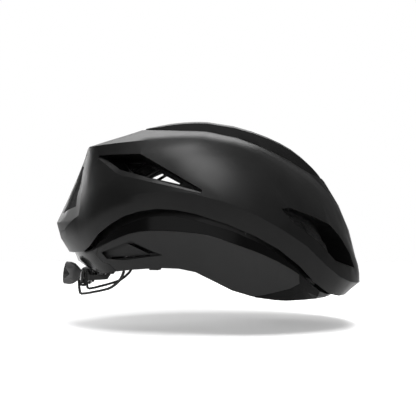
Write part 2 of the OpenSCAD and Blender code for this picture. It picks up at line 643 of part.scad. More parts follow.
// The arms lean with the dial where they slide into the tray
function arm_lean(a) = tan(dial_lean) * max(0, min(1, (30 - a) / 8));
module arm(s0) closed_rows([for (q = arm_fine) [for (e = [[1, 1], [1, -1], [0, -1], [0, 1]])
    let (r = q[1] + s0 + 0.03 + (band_t - 0.06) * e[0] - q[3] * e[1] * arm_lean(q[0]))
        [nape_x - r * cos(q[0]), -r * sin(q[0]), q[2] + q[3] * e[1]]]]);
module band_right() color("#1d1d1f") moulded() {
    strip(-band_t - 0.1, 1);
    arm(-band_t - 0.1);
}
module band_left() color("#1d1d1f") moulded() mirror([0, 1, 0]) {
    strip(0.1, -1);
    arm(0.1);
}
// Staples on the bowl wall that the ends of the arms slide in
guide_z = [46 - 5.8 - height_travel, 50];
module temple_guides() color("#242426") moulded() mirrored() translate([nape_x, 0, 0])
    rotate([0, 0, 180 - 78]) translate([0, 0, guide_z[0] - 2]) difference() {
        translate([arm_r - 3.4, -4, 0]) cube([nape_r - arm_r - 2, 8, guide_z[1] - guide_z[0] + 4]);
        translate([arm_r - 1.9, -5, 2])
            cube([band_t + 2.9, 10, guide_z[1] - guide_z[0]]);
    }
module guide_seats() mirrored() translate([nape_x, 0, 0]) rotate([0, 0, 180 - 78])
    translate([arm_r - 3.5, -4.1, guide_z[0] - 2.1])
        cube([nape_r - arm_r - 1.8, 8.2, guide_z[1] - guide_z[0] + 4.2]);

// Height track in the rear wall of the bowl, and the cradle whose tongue runs in it
track_x = bowl_c[0] - bowl_l / 2;
track_z = [44, 67];
module track_seat() translate([track_x - 2.1, -10.1, track_z[0] - 0.1])
    cube([20, 20.2, track_z[1] - track_z[0] + 0.2]);
module height_track() color("#2a2a2c") difference() {
    translate([track_x - 2, -10, track_z[0]]) cube([8.4, 20, track_z[1] - track_z[0]]);
    translate([track_x + 2.2, -6.3, track_z[0] - 1]) cube([2.4, 12.6, 50]);
    translate([track_x + 2.2, -3.5, track_z[0] - 1]) cube([6, 7, 50]);
}
function spline(p, n = 2) = [for (i = [0 : len(p) - 2]) for (j = [0 : i == len(p) - 2 ? n : n - 1])
    let (u = j / n, a = p[max(i - 1, 0)], b = p[i], c = p[i + 1], d = p[min(i + 2, len(p) - 1)])
    0.5 * (2 * b + u * (c - a) + u * u * (2 * a - 5 * b + 4 * c - d)
           + u * u * u * (3 * b - 3 * c + d - a))];
module wire(path, d, n = 6) closed_rows([for (i = [0 : len(path) - 1]) let (
    along = unit(path[min(i + 1, len(path) - 1)] - path[max(i - 1, 0)]),
    side = unit(cross(along, [0.15, 0.1, 1])), up = cross(side, along))
    [for (j = [0 : n - 1]) path[i] + d / 2 * (side * cos(360 * j / n) - up * sin(360 * j / n))]]);
loop_path = [[-113.5, 8, 8.2], [-116.4, 14, 8], [-118, 18.5, 9.6], [-118.6, 22, 12.8],
    [-118.3, 24.8, 9.6], [-117.6, 25.6, 4], [-115.6, 26.6, loop_d / 2 * sin(60)], [-104, 33.3, 3.3], [-93, 40, 6],
    [-86, 44.2, 8.8], [-78.4, 48.4, 15.3], [-74.6, 51, 23], [-73.6, 51.6, 31], [-78, 47.5, 36],
    [-88, 37.5, 38.6], [-95.6, 22, 39.3], [-98.4, 5, 39.3]];
module cradle() color("#2c2c2e") moulded() {
    difference() {
        translate([nape_x, 0, 0]) rotate([0, 0, 180 - house_deg])
            rotate_extrude(angle = 2 * house_deg, $fn = 120) polygon([for (q = [[-1, -1], [1, -1],
                [1, -0.86], [0, -0.86], [0, 0.86], [1, 0.86], [1, 1], [-1, 1]])
                lean(q[0] < 0 ? tray_in - wall_t : q[0] > 0 ? tray_out : tray_in,
                     q[1] * house_h / 2)]);
        on_dial(tray_in - 1.5) cylinder(h = 6, r = shaft_r + 0.3, $fn = 24);
    }
    translate([track_x + 2.5, -6, 12.5]) cube([1.8, 12, track_z[1] - 13.5]);
    translate([nape_x - nape_r - tray_in + 1.7, -6, 12.5])
        cube([track_x + 1.3 - nape_x + nape_r + tray_in, 12, 4.6]);
    mirrored() wire(spline(loop_path), loop_d);
}
module housing_cover() color("#333335") difference() {
    union() {
        arc(tray_out, tray_out + wall_t, -house_h / 2, house_h / 2, -house_deg, house_deg);
        on_dial(tray_out + 0.5) cylinder(h = wall_t + 0.2, r = 4.4);
    }
    on_dial(0) cylinder(h = 9, r = shaft_r + 0.05);
}
module nape_pads() color("#3a3a3c") for (a = [-house_deg + 0.4, 4.6])
    arc(tray_in - wall_t - 4, tray_in - wall_t - 0.1, -5, 5, a, a + house_deg - 5);

// Pinion on its shaft, dial, cap and the click spring between the dial and its housing
module pinion() color("#c9c9c6") on_dial() {
    translate([0, 0, tray_in - 1.2]) cylinder(h = 1.2 - tray_in + dial_s + 3, r = shaft_r);
    translate([0, 0, -tray_out + 0.4]) linear_extrude(2 * tray_out - 0.8) {
        circle(r = pitch_r - 1.2 * tooth_module);
        for (i = [0 : pinion_teeth - 1]) rotate(i * 360 / pinion_teeth)
            polygon([[0, -0.75], [pitch_r - tooth_module, -0.64], [pitch_r, -0.31], [tip_r, -0.1],
                     [tip_r, 0.1], [pitch_r, 0.31], [pitch_r - tooth_module, 0.64], [0, 0.75]]);
    }
}
dial_r = dial_d / 2;
dial_face = dial_s + dial_l - 1.1;
module cap_wedges(grow) for (a = [0 : 90 : 270]) rotate([0, 0, a]) rotate([0, 90, 0])
    linear_extrude(dial_r + 1) polygon([[-dial_face - 2, -4.6 - grow], [1.2 - dial_face, -4.6 - grow],
        [4.8 + grow - dial_face, -0.5], [4.8 + grow - dial_face, 0.5],
        [1.2 - dial_face, 4.6 + grow], [-dial_face - 2, 4.6 + grow]]);
module dial_knob() color("#3c3c3e") on_dial() difference() {
    rotate_extrude($fn = 72) polygon([[shaft_r + 0.01, 6.2], [4.4, 6.2], [dial_r * 0.7, dial_s + 0.2],
        [dial_r * 0.9, dial_s + dial_l * 0.24], [dial_r * 0.985, dial_s + dial_l * 0.5],
        [dial_r, dial_s + dial_l * 0.7], [dial_r, dial_face], [shaft_r + 0.01, dial_face]]);
    for (a = [45 : 90 : 315]) rotate([0, 0, a]) translate([dial_r + 4.6, 0, 0])
        cylinder(h = 40, r = 6.2);
    difference() {
        cap_wedges(0.05);
        translate([0, 0, -1]) cylinder(h = 60, r = dial_r - 0.95);
    }
}
module dial_cap() color("#0e0e0f") on_dial() {
    difference() {
        translate([0, 0, dial_face + 0.05]) rotate_extrude($fn = 72)
            polygon([[0, 0], [dial_r - 0.2, 0], [dial_r - 1, 1.05], [0, 1.05]]);
        for (a = [45 : 90 : 315]) rotate([0, 0, a]) translate([dial_r + 4.6, 0, dial_face - 5])
            cylinder(h = 20, r = 6.2);
    }
    intersection() {
        translate([0, 0, dial_s]) difference() {
            cylinder(h = dial_l - 0.6, r = dial_r - 0.02);
            translate([0, 0, -1]) cylinder(h = dial_l + 4, r = dial_r - 0.9);
        }
        cap_wedges(0);
    }
}
module detent_spring() color("#b8b8b4") on_dial(tray_out + wall_t + 0.75) {
    difference() {
        cylinder(h = 0.4, r = 6.4);
        translate([0, 0, -1]) cylinder(h = 3, r = 4.5);
    }
}

outer_shell();
outer_liner();
exhaust_frame();
roll_cage();
inner_liner();
lower_shell();
side_panel_left();
side_panel_right();
slip_tethers();
tether_plugs();
brow_pad();
crown_pads();
side_pads_left();
side_pads_right();
strap_anchors();
strap_left();
strap_right();
strap_divider_left();
strap_divider_right();
buckle_socket();
buckle_plug();
temple_guides();
height_track();
cradle();
housing_cover();
nape_pads();
band_left();
band_right();
pinion();
dial_knob();
dial_cap();
detent_spring();
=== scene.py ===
"""Road bike helmet: finishes, padding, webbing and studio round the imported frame."""
import json
import math

import bmesh
import bpy
import numpy as np
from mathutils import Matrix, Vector
from mathutils.bvhtree import BVHTree


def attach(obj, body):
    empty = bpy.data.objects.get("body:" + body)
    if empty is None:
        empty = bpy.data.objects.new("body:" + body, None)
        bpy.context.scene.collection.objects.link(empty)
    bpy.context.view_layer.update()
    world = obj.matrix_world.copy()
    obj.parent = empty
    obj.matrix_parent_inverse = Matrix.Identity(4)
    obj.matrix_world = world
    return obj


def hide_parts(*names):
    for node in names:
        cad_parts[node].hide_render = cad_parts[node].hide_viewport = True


MM = 0.001
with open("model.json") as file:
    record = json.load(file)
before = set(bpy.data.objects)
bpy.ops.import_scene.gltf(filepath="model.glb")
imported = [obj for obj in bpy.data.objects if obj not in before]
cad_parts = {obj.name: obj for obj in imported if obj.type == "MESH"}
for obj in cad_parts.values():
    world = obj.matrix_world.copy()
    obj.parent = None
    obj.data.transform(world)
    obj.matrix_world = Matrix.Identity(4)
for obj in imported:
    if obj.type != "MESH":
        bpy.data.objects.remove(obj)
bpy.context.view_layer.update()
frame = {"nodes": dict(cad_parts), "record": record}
BODY_OF = {node: body for body, nodes in frame["record"]["behaviour"]["bodies"].items()
           for node in nodes}
SLOT_OF = {part["node"]: part["material_slot"] for part in frame["record"]["subparts"]}


def mesh_of(shape, name):
    """The mesh of a bmesh, which is freed."""
    mesh = bpy.data.meshes.new(name)
    shape.to_mesh(mesh)
    shape.free()
    return mesh


def linked(name, data):
    """A new object in the scene."""
    thing = bpy.data.objects.new(name, data)
    bpy.context.collection.objects.link(thing)
    return thing


# ---- Camera and lamps ----

CAMERA_AT = (0.66, -850, 80)
LENS = 77.4
LAMPS_AIM = Vector((0, 0, 0.08))


def make_camera():
    data = bpy.data.cameras.new("camera")
    data.lens, data.sensor_width, data.clip_end = LENS, 36, 20
    camera = linked("camera", data)
    camera.location = Vector(CAMERA_AT) * MM
    camera.rotation_euler = (math.pi / 2, 0, 0)
    bpy.context.scene.camera = camera


def lamp(name, at, size, power):
    """Area lamp at a place in metres, with its two sides and watts, turned to the helmet."""
    data = bpy.data.lights.new(name, "AREA")
    data.shape, data.size, data.size_y, data.energy = "RECTANGLE", *size, power
    card = linked(name, data)
    card.location = at
    card.rotation_euler = (LAMPS_AIM - Vector(at)).to_track_quat("-Z", "Y").to_euler()


# ---- Shader maths ----

class Wire:
    """A node's output socket that takes part in sums as a number does."""

    def __init__(self, finish, socket):
        self.finish, self.socket = finish, socket

    def combine(self, operation, a, b):
        return self.finish.node("ShaderNodeMath", {"operation": operation}, {0: a, 1: b})

    def output(self, name):
        """Another output of the same node."""
        return Wire(self.finish, self.socket.node.outputs[name])

    def __add__(self, other):
        return self.combine("ADD", self, other)

    def __sub__(self, other):
        return self.combine("SUBTRACT", self, other)

    def __rsub__(self, other):
        return self.combine("SUBTRACT", other, self)

    def __mul__(self, other):
        return self.combine("MULTIPLY", self, other)

    def __truediv__(self, other):
        return self.combine("DIVIDE", self, other)

    __radd__ = __add__


class Finish:
    """One material or world, built node by node."""

    def __init__(self, name="", tree=None):
        if tree is None:
            self.material = bpy.data.materials.new(name)
            self.material.use_nodes = True
            tree = self.material.node_tree
        self.tree = tree
        self.tree.nodes.clear()

    def node(self, kind, settings=None, inputs=None, output=0):
        """A new node; a Wire among its inputs is linked, anything else is a constant."""
        made = self.tree.nodes.new(kind)
        for key, value in (settings or {}).items():
            if key == "stops":
                ramp = made.color_ramp.elements
                while len(ramp) < len(value):
                    ramp.new(0.5)
                for element, (place, shade) in zip(ramp, value):
                    element.position = place
                    element.color = shade if isinstance(shade, tuple) else (shade,) * 3 + (1,)
            else:
                setattr(made, key, value)
        for key, value in (inputs or {}).items():
            if isinstance(value, Wire):
                self.tree.links.new(value.socket, made.inputs[key])
            else:
                made.inputs[key].default_value = value
        return Wire(self, made.outputs[output]) if made.outputs else made

    def place(self, scale=(1, 1, 1)):
        """Object coordinates in millimetres, stretched."""
        spot = self.node("ShaderNodeTexCoord", output="Object")
        return self.node("ShaderNodeMapping", {}, {
            "Vector": spot, "Scale": tuple(s / MM for s in scale)})

    def noise(self, size, detail=2, rough=0.5, spot=None):
        """Cloudy pattern with grains of about size millimetres."""
        return self.node("ShaderNodeTexNoise", {}, {
            "Vector": spot or self.place(), "Scale": 1 / size, "Detail": detail,
            "Roughness": rough})

    def cells(self, size, feature="F1", spot=None):
        """Cell pattern with cells of about size millimetres."""
        return self.node("ShaderNodeTexVoronoi", {"feature": feature}, {
            "Vector": spot or self.place(), "Scale": 1 / size})

    def ramp(self, value, *stops):
        """Value led through [place, grey or colour] stops."""
        return self.node("ShaderNodeValToRGB", {"stops": stops}, {0: value})

    def blend(self, mask, a, b):
        """Colour a where the mask is 0, colour b where it is 1."""
        return self.node("ShaderNodeMix", {"data_type": "RGBA"}, {0: mask, 6: a, 7: b}, 2)

    def bump(self, height, depth, strength=1.0, under=None):
        """Normal of a relief depth millimetres deep, on top of another one."""
        inputs = {"Height": height, "Distance": depth * MM, "Strength": strength}
        if under:
            inputs["Normal"] = under
        return self.node("ShaderNodeBump", {}, inputs)

    def done(self, **inputs):
        """Closes the material with a principled shader."""
        names = {key.replace("_", " ").title().replace("Ior", "IOR"): value
                 for key, value in inputs.items()}
        shader = self.node("ShaderNodeBsdfPrincipled", {}, names)
        self.node("ShaderNodeOutputMaterial", {}, {"Surface": shader})
        return self.material


def grey(value, warm=0.0):
    return (value * (1 + warm), value, value * (1 - warm), 1)


# ---- Finishes ----

def satin_shell():
    f = Finish("satin_shell")
    cloud = f.noise(38, 3)
    grain = f.noise(0.5, 2, 0.6)
    return f.done(
        base_color=f.blend(f.ramp(cloud, (0.35, 0), (0.7, 1)), grey(0.006), grey(0.0085)),
        roughness=0.33 + f.noise(9, 3) * 0.05, specular_ior_level=0.12,
        normal=f.bump(grain, 0.03, 0.5))


def bead_foam():
    f = Finish("bead_foam")
    spot = f.place()
    bead = f.cells(2.6, spot=spot)
    seam = f.cells(2.6, "DISTANCE_TO_EDGE", spot=spot)
    speck = f.noise(0.8, 3, 0.7, spot=spot)
    shade = f.ramp(speck, (0.35, grey(0.026)), (0.62, grey(0.075)))
    height = f.bump(f.ramp(seam, (0.0, 0), (0.16, 1)), 0.35, 0.8)
    return f.done(
        base_color=f.blend(f.ramp(bead, (0.1, 0), (0.9, 1)), shade, grey(0.042)),
        roughness=0.72 + speck * 0.14, specular_ior_level=0.18,
        normal=f.bump(speck, 0.14, 0.7, under=height))


def gloss_wrap():
    f = Finish("gloss_wrap")
    return f.done(base_color=grey(0.0025), roughness=0.17 + f.noise(14, 3) * 0.05,
                  specular_ior_level=0.06, normal=f.bump(f.noise(30, 2), 0.06, 0.3))


def matte_panel():
    f = Finish("matte_panel")
    grain = f.noise(0.35, 2, 0.6)
    return f.done(base_color=f.blend(f.noise(20, 3), grey(0.035), grey(0.041)),
                  roughness=0.62 + grain * 0.1, specular_ior_level=0.1,
                  normal=f.bump(grain, 0.03, 0.6))


def tail_satin():
    f = Finish("tail_satin")
    grain = f.noise(0.5, 2, 0.6)
    return f.done(base_color=f.blend(f.noise(12, 2), grey(0.045), grey(0.06)),
                  roughness=0.42 + grain * 0.08, specular_ior_level=0.3,
                  normal=f.bump(grain, 0.02, 0.4))


def plain_plastic(name, shade, rough, size=0.6):
    f = Finish(name)
    grain = f.noise(size, 2, 0.6)
    return f.done(base_color=f.blend(f.noise(8, 3), grey(shade), grey(shade * 1.25)),
                  roughness=rough + grain * 0.1, specular_ior_level=0.28,
                  normal=f.bump(grain, 0.03, 0.5))


def soft_grip():
    f = Finish("soft_grip")
    grain = f.cells(0.45)
    return f.done(base_color=f.blend(f.noise(6, 3), grey(0.13), grey(0.165)),
                  roughness=0.62 + grain * 0.1, specular_ior_level=0.3,
                  normal=f.bump(grain, 0.06, 0.6))


def knit():
    f = Finish("knit")
    spot = f.place()
    fluff = f.noise(0.5, 4, 0.75, spot=spot)
    loop = f.cells(0.9, spot=spot)
    return f.done(base_color=f.blend(f.ramp(fluff, (0.3, 0), (0.7, 1)), grey(0.010),
                                     grey(0.032)),
                  roughness=0.92, specular_ior_level=0.2, sheen_weight=0.3,
                  sheen_roughness=0.5, normal=f.bump(fluff + loop * 0.6, 0.22, 0.8))


RIB_PITCH = 1.5


def webbing():
    """Chevron weave along the strap's own unrolled map, which is in millimetres."""
    f = Finish("webbing")
    flat = f.node("ShaderNodeUVMap", {"uv_map": "weave"})
    along = f.node("ShaderNodeSeparateXYZ", {}, {0: flat}, "X")
    across = along.output("Y")
    slant = along + f.node("ShaderNodeMath", {"operation": "ABSOLUTE"}, {0: across}) * 0.8
    rib = f.node("ShaderNodeMath", {"operation": "SINE"}, {0: slant * (2 * math.pi / RIB_PITCH)})
    rib = rib * 0.5 + 0.5
    thread = f.noise(0.35, 3, 0.7)
    return f.done(base_color=f.blend(rib, grey(0.008), grey(0.024)), roughness=0.85,
                  specular_ior_level=0.2, sheen_weight=0.2,
                  normal=f.bump(rib + thread * 0.5, 0.18, 0.8))


def sewing_thread():
    f = Finish("sewing_thread")
    ply = f.node("ShaderNodeTexWave", {"bands_direction": "DIAGONAL"}, {
        "Vector": f.place(), "Scale": 1.4})
    return f.done(base_color=f.blend(ply, grey(0.05), grey(0.09)), roughness=0.6,
                  normal=f.bump(ply, 0.05, 0.6))


def elastomer():
    f = Finish("elastomer")
    return f.done(base_color=f.blend(f.noise(4, 2), (0.22, 0.012, 0.012, 1),
                                     (0.30, 0.02, 0.018, 1)),
                  roughness=0.38 + f.noise(1.5, 2) * 0.1, normal=f.bump(f.noise(1, 2), 0.03, 0.4))


def bright_steel():
    f = Finish("bright_steel")
    draw = f.noise(0.3, 3, 0.6, spot=f.place((1, 1, 6)))
    return f.done(base_color=f.blend(draw, grey(0.5), grey(0.62)), metallic=1.0,
                  roughness=0.24 + draw * 0.12, normal=f.bump(draw, 0.02, 0.4))


FINISH_OF_SLOT = {
    "matte_shell": satin_shell(),
    "foam": bead_foam(),
    "tail_frame": tail_satin(),
    "cage": plain_plastic("cage_black", 0.010, 0.4),
    "gloss_wrap": gloss_wrap(),
    "side_panel": matte_panel(),
    "elastomer": elastomer(),
    "clip_plastic": plain_plastic("clip_plastic", 0.012, 0.5),
    "pad_fabric": knit(),
    "webbing": webbing(),
    "buckle": plain_plastic("buckle_black", 0.010, 0.36),
    "fit_plastic": plain_plastic("fit_plastic", 0.013, 0.4),
    "spring_steel": bright_steel(),
    "pinion_plastic": plain_plastic("pinion_grey", 0.035, 0.42),
    "dial_grip": soft_grip(),
    "dial_cap": plain_plastic("cap_black", 0.007, 0.22),
    "band": plain_plastic("band_black", 0.008, 0.42),
}


# ---- Pieces ----

def add_piece(name, mesh, node, finish=None):
    """A piece at the origin with a node's body, and the finish of the node's slot unless a finish
    is given.
    """
    piece = linked(name, mesh)
    mesh.materials.clear()
    mesh.materials.append(finish or FINISH_OF_SLOT[SLOT_OF[node]])
    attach(piece, BODY_OF[node])
    return piece


def surface_tree(mesh):
    """A mesh's surface, ready for rays and for nearest places."""
    return BVHTree.FromPolygons([v.co for v in mesh.vertices],
                                [tuple(p.vertices) for p in mesh.polygons])


def welded(node):
    """A node's own shape as one joined bmesh."""
    shape = bmesh.new()
    shape.from_mesh(frame["nodes"][node].data)
    bmesh.ops.remove_doubles(shape, verts=shape.verts, dist=2e-6)
    bmesh.ops.dissolve_degenerate(shape, edges=shape.edges, dist=1e-6)
    return shape


def shade(shape, crease):
    """Smooth faces, parted along every edge that turns by more than crease degrees."""
    limit = math.radians(crease)
    for face in shape.faces:
        face.smooth = True
    for edge in shape.edges:
        flat = len(edge.link_faces) == 2 and edge.calc_face_angle(0) < limit
        edge.smooth = flat


# Side view [x, z] of the shell's lower edge, and how far the painted shade on the foam reaches
# below and above it
PAINTED_SHADE_REACH, PAINTED_SHADE_FROM_MIDDLE = (16, 9), 20
SHELL_EDGE = [(-127, 38.5), (-109, 42), (-96, 57), (-72, 72.7), (-51, 78.3), (-34, 79.2),
              (-6, 74), (26, 62.7), (54, 49), (75, 34), (91, 17.5), (100, 9), (110, 3.4),
              (122, 1.2), (131, 2.4)]


def near_shell_edge(face):
    """True for the foam that is painted near black where the two halves part, as painted shade in
    the gap under the shell's edge.
    """
    middle = face.calc_center_median() / MM
    edge = np.interp(middle.x, *zip(*SHELL_EDGE))
    return (edge - PAINTED_SHADE_REACH[0] < middle.z < edge + PAINTED_SHADE_REACH[1]
            and abs(middle.y) > PAINTED_SHADE_FROM_MIDDLE)


# Painted shade: a near-black colour laid on the liners' foam in the gap where the two halves part
PAINTED_GAP_SHADE = plain_plastic("painted_gap_shade", 0.0025, 0.5)
PAINTED_SHADE_NODES = ("outer_liner", "inner_liner")


def smooth_copy(node, crease):
    """Stands for a moulded node, with rounded shading between its creases."""
    shape = welded(node)
    shade(shape, crease)
    # Liner foam faces in that gap get the painted shade colour
    painted_shade_faces = [int(node in PAINTED_SHADE_NODES and near_shell_edge(face)) for face in shape.faces]
    mesh = mesh_of(shape, node + "_skin")
    piece = add_piece(node + "_skin", mesh, node)
    if any(painted_shade_faces):
        mesh.materials.append(PAINTED_GAP_SHADE)
        mesh.polygons.foreach_set("material_index", painted_shade_faces)
    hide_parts(node)


for node, thing in frame["nodes"].items():
    thing.data.materials.clear()
    thing.data.materials.append(FINISH_OF_SLOT[SLOT_OF[node]])

# Turn in degrees above which an edge of a moulded node shows as a crease
CREASE = {"outer_shell": 24, "outer_liner": 30, "exhaust_frame": 20, "inner_liner": 30,
          "lower_shell": 22, "side_panel_left": 22, "side_panel_right": 22, "cradle": 40,
          "band_left": 28, "band_right": 28, "roll_cage": 40, "dial_knob": 30, "dial_cap": 30}
for node, crease in CREASE.items():
    smooth_copy(node, crease)


# ---- Bevelled lips along the lower edges of the rear side vents ----

# Side view [x, z] of a lip, and [x, width] along it
LIP_LINE = [(-98, 125), (-78, 109.6), (-70, 107.2), (-5.4, 92.3)]
LIP_WIDTH = [(-98, 1.2), (-92, 3.6), (-80, 4.6), (-66, 4.2), (-40, 2.6), (-5.4, 1.2)]
# Depth over width of its slant, distance of its sections, and its first corner's place under
# the shell's surface and edge
LIP_SLANT, LIP_STEP, LIP_SINK, LIP_INSET = 0.9, 3.0, 0.1, 0.2
LIP_CREASE = 30
# Back corners, from the inner one and the outer one: [deeper, away from the vent]
LIP_BACK = ((1.5, 0.8), (1.8, 0.4))
# The surface is felt by rays from FEEL_FROM at these distances below the lip, and carried on
# up to it
FEEL_FROM, FEEL_AT, CARRY_ON = 160, (1.4, 3.0), 0.75


def lip_places():
    """Even places on the lip line, each with the way into the vent."""
    places, ways = [], []
    for (x0, z0), (x1, z1) in zip(LIP_LINE, LIP_LINE[1:]):
        length = math.hypot(x1 - x0, z1 - z0)
        count = max(1, round(length / LIP_STEP))
        inward = Vector((z0 - z1, 0, x1 - x0)) / length
        places += [Vector((x0 + (x1 - x0) * k / count, 0, z0 + (z1 - z0) * k / count))
                   for k in range(count)]
        ways += [inward] * count
    return places + [Vector((x1, 0, z1))], ways + [inward]


def lip_rings(skin):
    """Sections of the lip on the rider's right, flush with the shell at their first corner."""
    places, ways = lip_places()
    deeper = Vector((0, 1, 0))
    rings = []
    for k, place in enumerate(places):
        way = sum(ways[max(0, k - 1):k + 2], Vector()).normalized()
        starts = [place - way * gap - deeper * FEEL_FROM for gap in FEEL_AT]
        near, far = [skin.ray_cast(start * MM, deeper)[0].y / MM for start in starts]
        surface = near + (near - far) * CARRY_ON
        edge = place + deeper * (surface + LIP_SINK) - way * LIP_INSET
        width = float(np.interp(place.x, *zip(*LIP_WIDTH)))
        inner = edge + way * width + deeper * (width * LIP_SLANT)
        rings.append([edge, inner] + [corner + deeper * deep - way * away for corner, (deep, away)
                                      in zip((inner, edge), LIP_BACK)])
    return rings


def make_lips():
    """Closed tubes of lip sections on both sides of the shell, in one mesh."""
    rings = lip_rings(surface_tree(frame["nodes"]["outer_shell"].data))
    shape = bmesh.new()
    for side in (1, -1):
        rows = [[shape.verts.new(Vector((p.x, p.y * side, p.z)) * MM) for p in ring]
                for ring in rings]
        for low, high in zip(rows, rows[1:]):
            for i in range(4):
                j = (i + 1) % 4
                shape.faces.new((low[i], low[j], high[j], high[i]))
        for ring in (rows[0], list(reversed(rows[-1]))):
            shape.faces.new(ring)
    bmesh.ops.recalc_face_normals(shape, faces=shape.faces)
    shade(shape, LIP_CREASE)
    add_piece("vent_lips", mesh_of(shape, "vent_lips"), "outer_shell")


make_lips()


# ---- Bowl of the helmet, as the construction source gives it ----

BOWL_MIDDLE, BOWL_HALF = Vector((-4, 0, 40)), (97, 79, 86)
PLAN_POWER, RISE_POWER = 2.3, 2.1


def lobe(c, power=PLAN_POWER):
    return math.copysign(abs(c) ** (2 / power), c)


def bowl(turn, rise, deep):
    """Place at a turn and rise in degrees, deep millimetres inside the bowl wall."""
    t, r = math.radians(turn), math.radians(rise)
    w = lobe(math.cos(r), RISE_POWER)
    return BOWL_MIDDLE + Vector((
        (BOWL_HALF[0] - deep) * w * lobe(math.cos(t)),
        (BOWL_HALF[1] - deep) * w * lobe(math.sin(t)),
        (BOWL_HALF[2] - deep) * lobe(math.sin(r), RISE_POWER)))


def bowl_over(x, y, deep):
    """Place on the crown, deep millimetres under the wall."""
    w = (abs(x / (BOWL_HALF[0] - deep)) ** PLAN_POWER
         + abs(y / (BOWL_HALF[1] - deep)) ** PLAN_POWER) ** (RISE_POWER / PLAN_POWER / 2)
    rise = lobe(math.sin(math.acos(min(w, 1))), RISE_POWER)
    return BOWL_MIDDLE + Vector((x, y, (BOWL_HALF[2] - deep) * rise))


# ---- Comfort pads: blown up by cloth pressure, then sewn ----

THREAD = sewing_thread()
# Mesh size of each cushion and the most that it swells, in millimetres
PADS = {"brow_pad": (2.4, 1.0), "crown_pads": (2.4, 1.0), "side_pads_left": (2.4, 1.0),
        "side_pads_right": (2.4, 1.0), "nape_pads": (1.6, 0.7)}
SHRINK = 0.6
SEAM_DEPTH, STITCH_LIFT = 6.0, 0.12
BLOW_FRAMES = 20


def evaluated_mesh(thing):
    """The modified shape of an object as a plain mesh."""
    graph = bpy.context.evaluated_depsgraph_get()
    return bpy.data.meshes.new_from_object(thing.evaluated_get(graph), depsgraph=graph)


def positions(mesh):
    flat = np.empty(len(mesh.vertices) * 3)
    mesh.vertices.foreach_get("co", flat)
    return flat.reshape(-1, 3)


def vertex_normals(mesh):
    flat = np.empty(len(mesh.vertices) * 3)
    mesh.vertex_normals.foreach_get("vector", flat)
    return flat.reshape(-1, 3)


def set_positions(mesh, places):
    mesh.vertices.foreach_set("co", places.ravel())
    mesh.update()


def loose_form(node, voxel):
    """A slightly smaller, evenly meshed copy of a pad's solid, ready to be blown up."""
    form = linked(node + "_form", mesh_of(welded(node), node + "_form"))
    net = form.modifiers.new("net", "REMESH")
    net.mode, net.voxel_size = "VOXEL", voxel * MM
    form.data = evaluated_mesh(form)
    form.modifiers.clear()
    set_positions(form.data, positions(form.data) - vertex_normals(form.data) * SHRINK * MM)
    return form


def blow_up(forms):
    """Cloth pressure on every form at once, without gravity."""
    for form in forms:
        cloth = form.modifiers.new("cloth", "CLOTH")
        rules = cloth.settings
        rules.use_pressure, rules.uniform_pressure_force = True, 4
        rules.effector_weights.gravity = 0
        rules.quality, rules.mass = 6, 0.2
        rules.tension_stiffness = rules.compression_stiffness = 12
        cloth.collision_settings.use_collision = False
        cloth.point_cache.frame_start, cloth.point_cache.frame_end = 1, BLOW_FRAMES
    for frame_number in range(1, BLOW_FRAMES + 1):
        bpy.context.scene.frame_set(frame_number)
    swollen = [positions(evaluated_mesh(form)) for form in forms]
    bpy.context.scene.frame_set(1)
    for form in forms:
        form.modifiers.clear()
    return swollen


def capped(start, end, most):
    """End places, none further than most from where it started."""
    move = end - start
    length = np.linalg.norm(move, axis=1, keepdims=True)
    return start + move * np.minimum(1, most / np.maximum(length, 1e-9))


def pad_outline(middle, half, share, over=False, steps=72):
    """Seam round a cushion, in turn and rise, or in x and y over the crown."""
    line = []
    for k in range(steps + 1):
        a = 2 * math.pi * k / steps
        u = [c + share * h * lobe(side) for c, h, side in
             zip(middle, half, (math.cos(a), math.sin(a)))]
        line.append((bowl_over(*u, SEAM_DEPTH) if over else bowl(*u, SEAM_DEPTH)) * MM)
    return line


def channel(turn, low, high, steps=12):
    """Upright seam across the brow pad."""
    return [bowl(turn, low + (high - low) * k / steps, SEAM_DEPTH) * MM
            for k in range(steps + 1)]


def mirrored(line):
    return [Vector((p.x, -p.y, p.z)) for p in line]


SIDE_SEAMS = [pad_outline((64, 33), (10, 8), 0.72), pad_outline((146, 22), (9, 10), 0.72)]
SEAMS = {
    "brow_pad": [pad_outline((0, 11), (40, 7.5), 0.8)] + [channel(t, 6.5, 15.5)
                                                         for t in (-20, -7, 7, 20)],
    "crown_pads": [pad_outline((42, 0), (24, 12), 0.76, True),
                   pad_outline((-44, 0), (23, 13), 0.76, True)],
    "side_pads_left": SIDE_SEAMS,
    "side_pads_right": [mirrored(line) for line in SIDE_SEAMS],
    "nape_pads": [],
}


def press_seam(mesh, line, reach=2.6, deep=0.75):
    """Draws the cushion in along a sewn line."""
    places, normals = positions(mesh), vertex_normals(mesh)
    points = np.array([tuple(p) for p in line])
    gap = np.min(np.linalg.norm(places[:, None] - points[None], axis=2), axis=1) / (reach * MM)
    pull = np.clip(1 - gap * gap, 0, 1) * deep * MM
    set_positions(mesh, places - normals * pull[:, None])


def laid_on(line, tree):
    """A line moved on to the nearest skin of the cushion."""
    laid = []
    for p in line:
        spot, normal = tree.find_nearest(p)[:2]
        laid.append(spot + normal * STITCH_LIFT * MM)
    return laid


